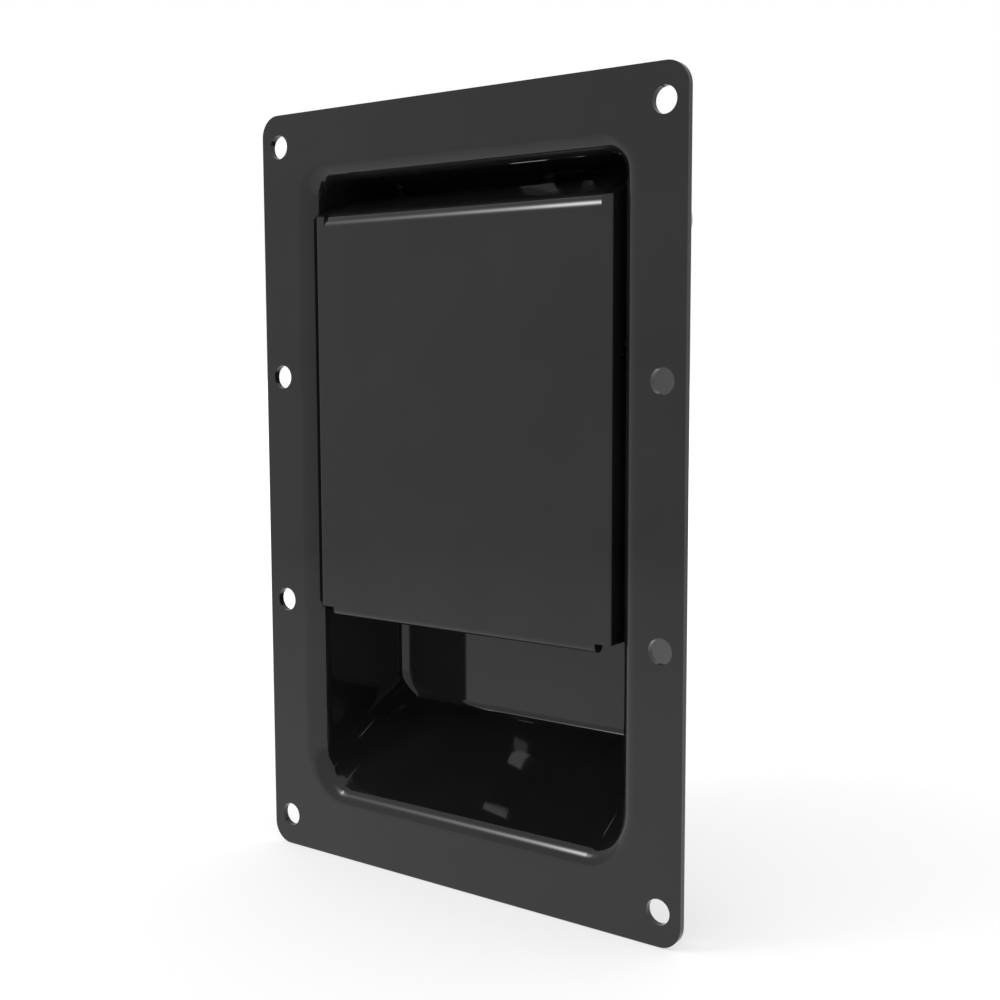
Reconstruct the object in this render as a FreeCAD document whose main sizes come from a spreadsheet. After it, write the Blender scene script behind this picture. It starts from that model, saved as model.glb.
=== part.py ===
import FreeCAD, Part
import math
import os
import Sketcher

# Flush paddle latch.
# The frame has +X to the right, -Y to the front and +Z up.
# Its origin is the centre of the flange's rear face, the face that seats on the door.
# Sizes are in millimetres. A depth is counted from the flange's front face towards +Y.

DOCUMENT_NAME = "paddle_latch"
PARTS_FOLDER = "parts"

SIZES = {
    "gauge": (1.9, "sheet thickness of flange, pan and paddle"),
    "plate_width": (149.0, "flange width"),
    "plate_height": (228.6, "flange height"),
    "plate_corner": (6.35, "flange corner radius"),
    "bolt_radius": (3.55, "mounting hole radius"),
    "bolt_edge": (6.85, "mounting holes, from the flange's side edges"),
    "bolt_end": (9.525, "outer mounting holes, from the flange's ends"),
    "bolt_spacing": ("=plate_width - 2 * bolt_edge", "mounting holes, side to side"),
    "bolt_pitch": ("=(plate_height - 2 * bolt_end) / 3", "mounting holes, row to row"),
    "side_rim": (20.1, "flange beside the pan"),
    "top_rim": (20.5, "flange above the pan"),
    "foot_rim": (19.6, "flange below the pan"),
    "lip_radius": (6.0, "rounding from flange to pan, on the front"),
    "mouth_width": ("=plate_width - 2 * side_rim", "pan inside width at the front face"),
    "mouth_top": ("=plate_height / 2 - top_rim", "pan top at the front face, above the centre"),
    "mouth_drop": ("=plate_height / 2 - foot_rim", "pan floor at the front face, below the centre"),
    "pan_depth": (39.1, "pan inside depth"),
    "side_draft": (1.4, "how far each side wall leans in towards the back"),
    "top_draft": (0.9, "how far the top wall falls towards the back"),
    "floor_draft": (23.3, "how far the floor rises towards the back"),
    "back_width": ("=mouth_width - 2 * side_draft", "pan inside width at the back"),
    "back_top": ("=mouth_top - top_draft", "pan top at the back, above the centre"),
    "back_drop": ("=mouth_drop - floor_draft", "pan floor at the back, below the centre"),
    "pan_corner": (10.0, "pan's lower corners, radius inside"),
    "pan_top_corner": (5.5, "pan's upper corners, radius inside"),
    "back_radius": (3.4, "rounding inside the pan's back wall"),
    "pin_depth": (28.0, "hinge pin, depth"),
    "pin_drop": (15.8, "hinge pin, below the pan's top"),
    "pin_height": ("=mouth_top - pin_drop", "hinge pin, above the centre"),
    "pin_radius": (2.38, "hinge pin radius"),
    "pin_head_radius": (4.75, "hinge pin head radius"),
    "pin_head_length": (2.6, "hinge pin head thickness"),
    "running_gap": (0.05, "radial play of a turning fit"),
    "side_play": (0.3, "end play of a turning piece"),
    "fit_gap": (0.02, "radial play of pieces that are fixed to each other"),
    "head_seat": (0.2, "pin head and washer clear of the tapered wall"),
    "clip_gauge": (0.8, "retaining clip thickness"),
    "clip_play": (0.05, "play of a clip in its groove"),
    "clip_width": (2.2, "retaining clip, from its groove to its rim"),
    "clip_mouth": (0.8, "half width of a clip's gap, as a share of its groove's radius"),
    "washer_gauge": (1.0, "washer thickness"),
    "washer_width": (2.4, "washer, from its bore to its rim"),
    "window_left": (12.0, "window in the back wall, left edge from the middle"),
    "window_right": (16.0, "window in the back wall, right edge from the middle"),
    "window_rise": (2.0, "window in the back wall, top above the hinge pin"),
    "window_top": ("=pin_height + window_rise", "window in the back wall, top"),
    "window_corner": (2.0, "window in the back wall, corner radius"),
    "slot_top": (10.2, "side slot, top"),
    "slot_drop": (8.5, "side slot, bottom, below the centre"),
    "slot_depth": (17.5, "side slot, rear edge, depth"),
    "slot_length": (8.0, "side slot, front to back"),
    "notch_top": (9.8, "rear corner notch, top"),
    "notch_drop": (2.5, "rear corner notch, bottom, below the centre"),
    "notch_length": (7.0, "rear corner notch, along the side wall and the back wall"),
    "tab_reach": (7.0, "stop tab, length inward from the side wall"),
    "paddle_gap": (1.8, "gap from the paddle to the pan at the front, on each side"),
    "paddle_fall": (11.0, "paddle face, top corner line below the pan's top"),
    "paddle_width": ("=mouth_width - 2 * paddle_gap", "paddle width"),
    "paddle_top": ("=mouth_top - paddle_fall", "paddle face, top corner line"),
    "paddle_drop": (38.0, "paddle face, bottom, below the centre"),
    "paddle_slope": (23.0, "slope of the paddle's top flange, degrees"),
    "paddle_top_radius": (5.5, "paddle top bend, outside"),
    "paddle_side_radius": (0.8, "paddle side corners, outside"),
    "paddle_inner_radius": (0.4, "paddle side corners, inside"),
    "hem_gap": (0.15, "gap inside the hem at the paddle's foot"),
    "hem_height": (9.0, "height of the hem's return leg"),
    "top_flange_depth": (13.5, "depth of the paddle's top flange"),
    "side_flange_depth": (14.6, "depth of the paddle's side flanges"),
    "side_flange_drop": (35.3, "lower end of the side flanges, below the centre"),
    "foot_trim": (5.0, "how far the hem stops short of each side"),
    "top_trim": (3.4, "how far the top flange stops short of each side"),
    "hem_width": ("=paddle_width - 2 * foot_trim", "width of the hem below the side flanges"),
    "top_flange_width": ("=paddle_width - 2 * top_trim", "width of the top flange"),
    "ear_radius": (9.0, "paddle ear around the hinge pin"),
    "ear_length": (24.0, "hinge pin to the lower end of the ear"),
    "ear_root": ("=pin_height - ear_length", "lower end of the ear, above the centre"),
    "ear_crest_depth": (12.5, "rear end of the ear's sloped edge, depth"),
    "ear_crest_radius": (2.5, "rounding of the ear's crest"),
    "hook_depth": (7.5, "spring hole in the side flange, depth"),
    "hook_drop": (35.7, "spring hole in the side flange, below the hinge pin"),
    "hook_height": ("=pin_height - hook_drop", "spring hole in the side flange, above the centre"),
    "hook_radius": (2.6, "spring hole radius"),
    "bush_wall": (1.45, "hinge bushing wall"),
    "bush_flange_radius": (5.5, "hinge bushing flange radius"),
    "bush_flange_gauge": (0.4, "hinge bushing flange thickness"),
    "sleeve_wall": (1.5, "spring sleeve wall"),
    "sleeve_length": (12.4, "spring sleeve length"),
    "wire_radius": (0.8, "torsion spring wire radius"),
    "coil_radius": (5.0, "torsion spring coil radius, at the wire's centre"),
    "coil_pitch": (1.7, "torsion spring pitch"),
    "coil_turns": (4.0, "torsion spring full turns"),
    "foot_drop": (26.0, "lower end of the spring's rear leg, below the hinge pin"),
    "spring_foot": ("=pin_height - foot_drop", "lower end of the spring's rear leg"),
    "knee_radius": (1.4, "bend of the wire towards the spring hole, at the wire's centre"),
    "tail_gauge": (3.0, "trip lever thickness"),
    "tail_width": (8.0, "trip lever width"),
    "tail_left": (3.8, "trip lever, left edge"),
    "tail_pin_gap": (0.42, "play between the hinge pin and the trip lever"),
    "tail_past": (15.9, "rear face of the trip lever's nose, behind the pan's depth"),
    "tail_reach": ("=pan_depth + tail_past", "rear face of the trip lever's nose, depth"),
    "nose_drop": (12.0, "lower end of the trip lever's nose, below the hinge pin"),
    "nose_height": ("=pin_height - nose_drop", "lower end of the trip lever's nose"),
    "bend_radius": (2.0, "trip lever bends, inside"),
    "pad_width": (20.0, "weld pad width"),
    "pad_drop": (34.0, "weld pad, lower end, below the hinge pin"),
    "pad_height": (22.0, "weld pad height"),
    "pad_foot": ("=pin_height - pad_drop", "weld pad, lower end"),
    "pad_top": ("=pad_foot + pad_height", "weld pad, upper end"),
    "pad_corner": (3.0, "weld pad, corner radius"),
    "nose_round": (1.45, "trip lever's nose, rounding"),
    "travel": (12.0, "paddle travel, degrees"),
    "stop_gap": (0.3, "play at a rubber or window stop"),
    "bumper_width": (7.2, "rubber stop width"),
    "bumper_height": (10.5, "rubber stop height"),
    "bumper_lap": (2.1, "rubber stop, on each side of the back wall"),
    "bumper_round": (1.2, "rubber stop, rounding of its lower edges"),
    "arm_pitch": (23.5, "drive roller from the lever's pivot"),
    "rod_pitch": (34.0, "rod holes from the lever's pivot"),
    "rod_radius": (3.2, "rod hole radius"),
    "arm_radius": (7.0, "half width of the lever's arms"),
    "hub_radius": (11.0, "lever's hub radius"),
    "lever_gauge": (3.0, "rod lever thickness"),
    "lever_standoff": (2.2, "pan's rear face to the rod lever"),
    "lever_fillet": (6.0, "rounding between the lever's hub and arms"),
    "roller_radius": (4.0, "drive roller radius"),
    "roller_length": (8.6, "drive roller length"),
    "roller_gap": (0.45, "play between the trip lever's nose and the roller"),
    "roller_pin_radius": (2.2, "drive roller pin radius"),
    "roller_pin_head": (3.3, "drive roller pin head radius"),
    "roller_pin_head_gauge": (1.0, "drive roller pin head thickness"),
    "stud_radius": (5.0, "lever stud journal radius"),
    "stud_shoulder": (9.0, "lever stud shoulder radius"),
    "stud_rivet": (4.0, "lever stud rivet radius"),
    "stud_head": (6.5, "lever stud rivet head radius"),
    "stud_head_gauge": (1.4, "lever stud rivet head thickness"),
    "lever_bush_wall": (1.2, "lever bushing wall"),
    "lever_bush_flange": (0.8, "lever bushing flange thickness"),
    "lever_bush_rim": (8.5, "lever bushing flange radius"),
    "groove_depth": (0.6, "depth of a clip groove"),
    "stub": (1.6, "what a pin or stud stands past its clip"),
}

PLANE_FRONT = "XZ_Plane"
PLANE_SIDE = "YZ_Plane"
PLANE_TOP = "XY_Plane"

doc = FreeCAD.newDocument(DOCUMENT_NAME)
sheet = doc.addObject("Spreadsheet::Sheet", "Sizes")
nodes = []


def fill_sheet():
    """Write the driving dimensions into the sheet, one row each: a number, or a formula on others."""
    for row, (alias, (size, meaning)) in enumerate(SIZES.items(), 1):
        sheet.set(f"A{row}", meaning)
        sheet.set(f"B{row}", str(size))
        sheet.setAlias(f"B{row}", alias)
    doc.recompute()


def expand(expression):
    """Turn a short expression on aliases into one that names the sheet."""
    words = []
    word = ""
    for letter in expression + " ":
        if letter.isalnum() or letter == "_":
            word += letter
            continue
        words.append(f"Sizes.{word}" if word in SIZES else word)
        words.append(letter)
        word = ""
    return "".join(words).strip()


def value(expression):
    """Work out a short expression on aliases as a plain number."""
    result = sheet.evalExpression(expand(expression))
    return float(getattr(result, "Value", result))


def bind(thing, path, expression):
    """Bind one property of an object to an expression on the sheet."""
    thing.setExpression(path, expand(expression))


def new_body(label, is_node=True):
    """Start a body, which becomes the node of the same name unless it only shapes another."""
    body = doc.addObject("PartDesign::Body", label)
    body.Label = label
    if is_node:
        nodes.append(body)
    return body


def new_sketch(body, name, plane, offset=None):
    """Add a sketch on one of the body's own planes, moved along that plane's normal."""
    sketch = body.newObject("Sketcher::SketchObject", name)
    support = next(item for item in body.Origin.OriginFeatures if item.Role == plane)
    sketch.AttachmentSupport = [(support, "")]
    sketch.MapMode = "FlatFace"
    if offset:
        bind(sketch, "AttachmentOffset.Base.z", offset)
    return sketch


def hold_point(sketch, geometry, point, across, up):
    """Hold a point of the sketch at two distances from its origin."""
    for kind, axis, expression in (("DistanceX", -2, across), ("DistanceY", -1, up)):
        if expression == "0":
            sketch.addConstraint(Sketcher.Constraint("PointOnObject", geometry, point, axis))
            continue
        rule = Sketcher.Constraint(kind, -1, 1, geometry, point, value(expression))
        index = sketch.addConstraint(rule)
        bind(sketch, f"Constraints[{index}]", expression)


def draw_outline(sketch, corners):
    """Draw a closed outline of straight lines through corners given as expressions."""
    first = sketch.GeometryCount
    spots = [FreeCAD.Vector(value(across), value(up), 0) for across, up in corners]
    count = len(spots)
    for index, spot in enumerate(spots):
        sketch.addGeometry(Part.LineSegment(spot, spots[(index + 1) % count]), False)
    for index in range(count):
        here = first + index
        after = first + (index + 1) % count
        sketch.addConstraint(Sketcher.Constraint("Coincident", here, 2, after, 1))
    for index, (across, up) in enumerate(corners):
        hold_point(sketch, first + index, 1, across, up)


def draw_circle(sketch, across, up, radius):
    """Draw a circle whose centre and radius are given as expressions."""
    centre = FreeCAD.Vector(value(across), value(up), 0)
    circle = Part.Circle(centre, FreeCAD.Vector(0, 0, 1), value(radius))
    geometry = sketch.addGeometry(circle, False)
    hold_point(sketch, geometry, 3, across, up)
    index = sketch.addConstraint(Sketcher.Constraint("Radius", geometry, value(radius)))
    bind(sketch, f"Constraints[{index}]", radius)


def box_corners(left, right, low, high):
    """The four corners of an upright rectangle, as expressions."""
    return [(left, low), (right, low), (right, high), (left, high)]


def extrude(body, kind, name, sketch, length, both=False, reverse=False):
    """Add a pad or pocket; with no length it goes through all."""
    feature = body.newObject(f"PartDesign::{kind}", name)
    feature.Profile = sketch
    feature.Midplane = both
    feature.Reversed = reverse
    if length:
        bind(feature, "Length", length)
    else:
        feature.Type = "ThroughAll"
    doc.recompute()
    return feature


def round_edges(body, name, radius, test):
    """Round the edges of the body's tip that pass a test."""
    doc.recompute()
    base = body.Tip
    names = [f"Edge{i}" for i, edge in enumerate(base.Shape.Edges, 1) if test(edge)]
    feature = body.newObject("PartDesign::Fillet", name)
    feature.Base = (base, names)
    bind(feature, "Radius", radius)
    doc.recompute()
    return feature


def mirror_feature(body, name, features):
    """Repeat features on the other side of the middle plane."""
    middle = next(item for item in body.Origin.OriginFeatures if item.Role == PLANE_SIDE)
    feature = body.newObject("PartDesign::Mirrored", name)
    feature.Originals = features
    feature.MirrorPlane = (middle, [""])
    body.Tip = feature
    doc.recompute()
    return feature


def near(number, target, slack=0.01):
    """Whether two lengths are the same."""
    return abs(number - target) < slack


def lies_along(edge, axis):
    """Whether an edge's box is long on one axis (0, 1 or 2) and thin on the others."""
    box = edge.BoundBox
    spans = [box.XLength, box.YLength, box.ZLength]
    long_side = spans.pop(axis)
    return long_side > 1.0 and max(spans) < 0.01


def place(thing, across="0", depth="0", up="0", turn=None):
    """Place a body: a point given by x, depth from the front face and height, and a turn."""
    if turn:
        axis, degrees = turn
        thing.Placement.Rotation = FreeCAD.Rotation(FreeCAD.Vector(*axis), degrees)
    bind(thing, "Placement.Base.x", across)
    bind(thing, "Placement.Base.y", f"{depth} - gauge")
    bind(thing, "Placement.Base.z", up)


def turned(label, profile):
    """Make a turned piece about X from (distance along X, radius) pairs given as expressions."""
    body = new_body(label)
    sketch = new_sketch(body, f"{label}_profile", PLANE_TOP)
    draw_outline(sketch, profile)
    feature = body.newObject("PartDesign::Revolution", f"{label}_turning")
    feature.Profile = sketch
    axis = next(item for item in body.Origin.OriginFeatures if item.Role == "X_Axis")
    feature.ReferenceAxis = (axis, [""])
    feature.Angle = 360
    doc.recompute()
    return body


def tube_profile(start, end, inner, outer):
    """Profile of a plain ring or tube."""
    return [(start, inner), (end, inner), (end, outer), (start, outer)]


TO_REAR = ((0, 0, 1), 90)
TO_LEFT = ((0, 0, 1), 180)

FLOOR_RISE = "((mouth_drop - back_drop) / pan_depth)"
TOP_FALL = "((mouth_top - back_top) / pan_depth)"
SIDE_TAPER = "((mouth_width - back_width) / 2 / pan_depth)"
PAN_BACK = "(pan_depth - gauge)"
PAN_REAR = "pan_depth"
PIN_Y = "(pin_depth - gauge)"
WALL_INSIDE = f"(mouth_width / 2 - {SIDE_TAPER} * pin_depth)"
WALL_OUTSIDE = f"({WALL_INSIDE} + gauge)"
HEAD_SEAT = f"({WALL_OUTSIDE} + head_seat)"
PIN_BORE = "(pin_radius + running_gap)"
SLOPE = "tan(paddle_slope * 1deg)"
SLOPE_WALL = "(gauge / cos(paddle_slope * 1deg))"
EAR_INSIDE = "(paddle_width / 2 - gauge)"
EAR_BORE = f"({PIN_BORE} + bush_wall + fit_gap)"
TAIL_TOP = "(pin_height - pin_radius - tail_pin_gap)"
TAIL_FOOT = f"({TAIL_TOP} - tail_gauge)"
TAIL_MIDDLE = "(tail_left + tail_width / 2)"
ARM_ANGLE = "(travel / 2)"
ROLLER_Z = "(nose_height - roller_gap - roller_radius)"
STUD_X = f"({TAIL_MIDDLE} - arm_pitch * cos({ARM_ANGLE} * 1deg))"
STUD_Z = f"({ROLLER_Z} - arm_pitch * sin({ARM_ANGLE} * 1deg))"
STUD_BORE = "(stud_radius + running_gap)"
LEVER_DEPTH = "(pan_depth + gauge + lever_standoff)"
WINDOW_FOOT = (
    "(pin_height - (pan_depth + gauge - pin_depth) * tan(travel * 1deg)"
    f" - (pin_height - {TAIL_FOOT}) / cos(travel * 1deg) - 3 * stop_gap)"
)


def grown(wall, slope):
    """How far a sloped wall of a given thickness stands off, measured square to the flange."""
    return f"{wall} * sqrt(1 + {slope} ^ 2)"


def shape_pan_block(body, name, wall):
    """A block that tapers to the rear: the room inside the pan, or its outside with a wall."""
    reach = f"(pan_depth + {wall})"
    drop = grown(wall, FLOOR_RISE)
    lift = grown(wall, TOP_FALL)
    spread = grown(wall, SIDE_TAPER)
    half_width = f"(mouth_width / 2 + {spread})"
    half_back = f"({half_width} - {SIDE_TAPER} * {reach})"
    side = new_sketch(body, f"{name}_side", PLANE_SIDE)
    draw_outline(side, [("-gauge", f"-(mouth_drop + {drop})"),
                        (f"{reach} - gauge", f"{FLOOR_RISE} * {reach} - mouth_drop - {drop}"),
                        (f"{reach} - gauge", f"mouth_top + {lift} - {TOP_FALL} * {reach}"),
                        ("-gauge", f"mouth_top + {lift}")])
    extrude(body, "Pad", f"{name}_block", side, f"2 * {half_width}", both=True)
    taper = new_sketch(body, f"{name}_taper", PLANE_TOP)
    for sign in ("", "-"):
        draw_outline(taper, [(f"{sign}{half_width}", "-gauge"),
                             (f"{sign}({half_width} + gauge)", "-gauge"),
                             (f"{sign}({half_width} + gauge)", f"{reach} + gauge"),
                             (f"{sign}{half_back}", f"{reach} + gauge"),
                             (f"{sign}{half_back}", f"{reach} - gauge")])
    extrude(body, "Pocket", f"{name}_taper_cut", taper, None, both=True)
    depth = value(reach)
    round_edges(body, f"{name}_lower_corners", f"pan_corner + {wall}",
                lambda edge: near(edge.BoundBox.YLength, depth) and edge.BoundBox.ZMax < 0)
    round_edges(body, f"{name}_upper_corners", f"pan_top_corner + {wall}",
                lambda edge: near(edge.BoundBox.YLength, depth) and edge.BoundBox.ZMin > 0
                and is_pan_corner(edge))
    round_edges(body, f"{name}_back_rounding", f"back_radius + {wall}",
                lambda edge: lies_flat(edge, value(f"{reach} - gauge")))


def is_pan_corner(edge):
    """Whether an edge is one of the pan's sharp upper corners, at the full width."""
    box = edge.BoundBox
    return max(abs(box.XMin), abs(box.XMax)) > value("mouth_width / 2 - 0.001")


def lies_flat(edge, y):
    """Whether an edge lies in the upright plane at y."""
    return near(edge.BoundBox.YMin, y) and near(edge.BoundBox.YMax, y)


def is_around_mouth(edge, y):
    """Whether an edge lies in the upright plane at y, around the pan and inside the flange's rim."""
    box = edge.BoundBox
    inside = max(abs(box.XMin), abs(box.XMax)) < value("plate_width / 2 - plate_corner")
    upright = max(abs(box.ZMin), abs(box.ZMax)) < value("plate_height / 2 - plate_corner")
    return lies_flat(edge, y) and inside and upright


def make_mounting_pan():
    """Flange and drawn pan in one sheet, with its lip, sloped floor and openings."""
    room = new_body("pan_room", is_node=False)
    shape_pan_block(room, "room", "0")
    body = new_body("mounting_pan")
    shape_pan_block(body, "pan", "gauge")
    flange = new_sketch(body, "flange_outline", PLANE_FRONT)
    draw_outline(flange, box_corners("-plate_width / 2", "plate_width / 2",
                                     "-plate_height / 2", "plate_height / 2"))
    extrude(body, "Pad", "flange", flange, "gauge")
    round_edges(body, "flange_corners", "plate_corner", is_flange_corner)
    round_edges(body, "throat", "lip_radius - gauge", lambda edge: is_around_mouth(edge, 0))
    hollow = body.newObject("PartDesign::Boolean", "hollow")
    hollow.Type = "Cut"
    hollow.setObjects([room])
    body.Tip = hollow
    doc.recompute()
    front = -value("gauge")
    round_edges(body, "lip", "lip_radius", lambda edge: is_around_mouth(edge, front))
    add_openings(body)
    return body


def is_flange_corner(edge):
    """Whether an edge is one of the four corners of the flange."""
    box = edge.BoundBox
    half_width = value("plate_width / 2")
    half_height = value("plate_height / 2")
    beside = near(abs(box.XMin), half_width) and near(box.XMin, box.XMax)
    return beside and near(abs(box.ZMin), half_height) and near(box.ZMin, box.ZMax)


def add_openings(body):
    """Holes, window, side slots with their stop tabs, and corner notches of the pan."""
    bolts = new_sketch(body, "bolt_holes", PLANE_FRONT)
    for side in ("-", ""):
        for step in ("-1.5", "-0.5", "0.5", "1.5"):
            draw_circle(bolts, f"{side}bolt_spacing / 2", f"{step} * bolt_pitch", "bolt_radius")
    extrude(body, "Pocket", "bolt_hole_cut", bolts, None, both=True)
    pin_hole = new_sketch(body, "pin_holes", PLANE_SIDE)
    draw_circle(pin_hole, PIN_Y, "pin_height", PIN_BORE)
    extrude(body, "Pocket", "pin_hole_cut", pin_hole, None, both=True)
    window = new_sketch(body, "window", PLANE_FRONT, f"-({PAN_BACK} - gauge)")
    draw_outline(window, box_corners("-window_left", "window_right", WINDOW_FOOT, "window_top"))
    draw_circle(window, STUD_X, STUD_Z, "stud_rivet + fit_gap")
    extrude(body, "Pocket", "window_cut", window, "3 * gauge")
    window_sides = (-value("window_left"), value("window_right"))
    round_edges(body, "window_corners", "window_corner",
                lambda edge: lies_along(edge, 1)
                and any(near(edge.BoundBox.XMin, x) for x in window_sides))
    slot = new_sketch(body, "side_slots", PLANE_SIDE)
    slot_rear = "(slot_depth - gauge)"
    draw_outline(slot, box_corners(f"{slot_rear} - slot_length", slot_rear, "-slot_drop", "slot_top"))
    extrude(body, "Pocket", "side_slot_cut", slot, None, both=True)
    tab = new_sketch(body, "stop_tab", PLANE_FRONT, f"-{slot_rear}")
    wall = f"(mouth_width / 2 - {SIDE_TAPER} * slot_depth)"
    draw_outline(tab, box_corners(f"{wall} - tab_reach", f"{wall} + gauge / 2",
                                  "-slot_drop", "slot_top"))
    pad = extrude(body, "Pad", "stop_tabs", tab, "gauge", reverse=True)
    mirror_feature(body, "stop_tab_pair", [pad])
    notch = new_sketch(body, "corner_notches", PLANE_TOP, "-notch_drop")
    half_back = f"(mouth_width / 2 + gauge - {SIDE_TAPER} * pan_depth)"
    for sign in ("", "-"):
        draw_outline(notch, box_corners(f"{sign}({half_back} - notch_length)",
                                        f"{sign}({half_back} + gauge)",
                                        f"{PAN_REAR} - notch_length", f"{PAN_REAR} + gauge"))
    extrude(body, "Pocket", "corner_notch_cut", notch, "notch_top + notch_drop", reverse=True)


def turned_end(body, name, radius, x, size):
    """Chamfer the round edge of a turned piece at a place along its axis."""
    doc.recompute()
    base = body.Tip
    edge_radius = value(radius)
    place_along = value(x)
    names = [f"Edge{i}" for i, edge in enumerate(base.Shape.Edges, 1)
             if near(edge.BoundBox.XMin, place_along) and near(edge.BoundBox.XMax, place_along)
             and near(edge.BoundBox.YMax, edge_radius)]
    feature = body.newObject("PartDesign::Chamfer", name)
    feature.Base = (base, names)
    bind(feature, "Size", size)
    doc.recompute()


def make_clip(label, groove_radius):
    """An open retaining clip about X: a ring with a gap that slides into a groove."""
    body = new_body(label)
    ring = new_sketch(body, f"{label}_ring", PLANE_SIDE)
    draw_circle(ring, "0", "0", f"{groove_radius} + clip_width")
    extrude(body, "Pad", f"{label}_blank", ring, "clip_gauge")
    bore = new_sketch(body, f"{label}_bore", PLANE_SIDE)
    draw_circle(bore, "0", "0", f"{groove_radius} + fit_gap")
    extrude(body, "Pocket", f"{label}_bore_cut", bore, None, both=True)
    gap = new_sketch(body, f"{label}_gap", PLANE_SIDE)
    half_gap = f"({groove_radius} * clip_mouth)"
    below = f"-({groove_radius} + 2 * clip_width)"
    draw_outline(gap, box_corners(f"-{half_gap}", half_gap, below, "0"))
    extrude(body, "Pocket", f"{label}_gap_cut", gap, None, both=True)
    return body


def make_hinge_pin():
    """Headed pin through both side walls, with its washer and clip at the left."""
    neck = "(pin_radius - groove_depth)"
    washer_end = f"({HEAD_SEAT} + washer_gauge)"
    groove_end = f"({washer_end} + clip_gauge + 2 * clip_play)"
    left_end = f"({groove_end} + stub)"
    pin = turned("hinge_pin", [(f"-{left_end}", "0"), (f"-{left_end}", "pin_radius"),
                               (f"-{groove_end}", "pin_radius"), (f"-{groove_end}", neck),
                               (f"-{washer_end}", neck), (f"-{washer_end}", "pin_radius"),
                               (HEAD_SEAT, "pin_radius"), (HEAD_SEAT, "pin_head_radius"),
                               (f"{HEAD_SEAT} + pin_head_length", "pin_head_radius"),
                               (f"{HEAD_SEAT} + pin_head_length", "0")])
    turned_end(pin, "hinge_pin_point", "pin_radius", f"-{left_end}", "groove_depth")
    turned_end(pin, "hinge_pin_head_edge", "pin_head_radius",
               f"{HEAD_SEAT} + pin_head_length", "groove_depth")
    place(pin, "0", "pin_depth", "pin_height")
    bore = "(pin_radius + 2 * fit_gap)"
    washer = turned("pin_washer", tube_profile("0", "washer_gauge", bore, f"{bore} + washer_width"))
    place(washer, f"-{washer_end}", "pin_depth", "pin_height")
    clip = make_clip("pin_clip", neck)
    place(clip, f"-({washer_end} + clip_play + clip_gauge)", "pin_depth", "pin_height")


def make_spring_sleeves():
    """Plain tubes on the hinge pin that carry the springs."""
    outer_end = f"({EAR_INSIDE} - 2 * side_play)"
    for label, start in (("spring_sleeve_left", f"-{outer_end}"),
                         ("spring_sleeve_right", f"{outer_end} - sleeve_length")):
        sleeve = turned(label, tube_profile("0", "sleeve_length", PIN_BORE,
                                            f"{PIN_BORE} + sleeve_wall"))
        place(sleeve, start, "pin_depth", "pin_height")


def make_rest_bumper():
    """Rubber stop clipped on the window's upper edge, above the trip lever."""
    body = new_body("rest_bumper")
    foot = f"({TAIL_TOP} + stop_gap)"
    front = f"({PAN_BACK} - bumper_lap)"
    rear = f"({PAN_REAR} + bumper_lap)"
    side = new_sketch(body, "bumper_side", PLANE_SIDE, f"{TAIL_MIDDLE} - bumper_width / 2")
    draw_outline(side, [(front, foot), (rear, foot), (rear, f"{foot} + bumper_height"),
                        (PAN_REAR, f"{foot} + bumper_height"), (PAN_REAR, "window_top"),
                        (PAN_BACK, "window_top"), (PAN_BACK, f"{foot} + bumper_height"),
                        (front, f"{foot} + bumper_height")])
    extrude(body, "Pad", "bumper_block", side, "bumper_width")
    low = value(foot)
    round_edges(body, "bumper_edges", "bumper_round",
                lambda edge: lies_along(edge, 0) and near(edge.BoundBox.ZMin, low))


def make_lever_stud():
    """Riveted stud on the back wall, with the washer and clip that hold the rod lever."""
    shoulder = "(gauge + lever_standoff - lever_bush_flange - side_play / 2)"
    washer_start = "(gauge + lever_standoff + lever_gauge + side_play)"
    washer_end = f"({washer_start} + washer_gauge)"
    groove_end = f"({washer_end} + clip_gauge + 2 * clip_play)"
    rear_end = f"({groove_end} + stub)"
    neck = "(stud_radius - groove_depth)"
    stud = turned("lever_stud", [("-stud_head_gauge", "0"), ("-stud_head_gauge", "stud_head"),
                                 ("0", "stud_head"), ("0", "stud_rivet"), ("gauge", "stud_rivet"),
                                 ("gauge", "stud_shoulder"), (shoulder, "stud_shoulder"),
                                 (shoulder, "stud_radius"), (washer_end, "stud_radius"),
                                 (washer_end, neck), (groove_end, neck),
                                 (groove_end, "stud_radius"), (rear_end, "stud_radius"),
                                 (rear_end, "0")])
    turned_end(stud, "lever_stud_head_edge", "stud_head", "-stud_head_gauge", "groove_depth")
    turned_end(stud, "lever_stud_point", "stud_radius", rear_end, "groove_depth")
    place(stud, STUD_X, "pan_depth", STUD_Z, TO_REAR)
    bore = f"({STUD_BORE} + fit_gap)"
    washer = turned("lever_washer", tube_profile("0", "washer_gauge", bore,
                                                 f"{bore} + washer_width"))
    place(washer, STUD_X, f"pan_depth + {washer_start}", STUD_Z, TO_REAR)
    clip = make_clip("lever_clip", neck)
    place(clip, STUD_X, f"pan_depth + {washer_end} + clip_play", STUD_Z, TO_REAR)


def tangent_spot(outside, centre, radius, turn):
    """Where a line from an outside point touches a circle, on the side given by turn."""
    away = outside - centre
    angle = math.atan2(away.y, away.x) + turn * math.acos(radius / away.Length)
    return angle, centre + FreeCAD.Vector(math.cos(angle), math.sin(angle), 0) * radius


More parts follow.
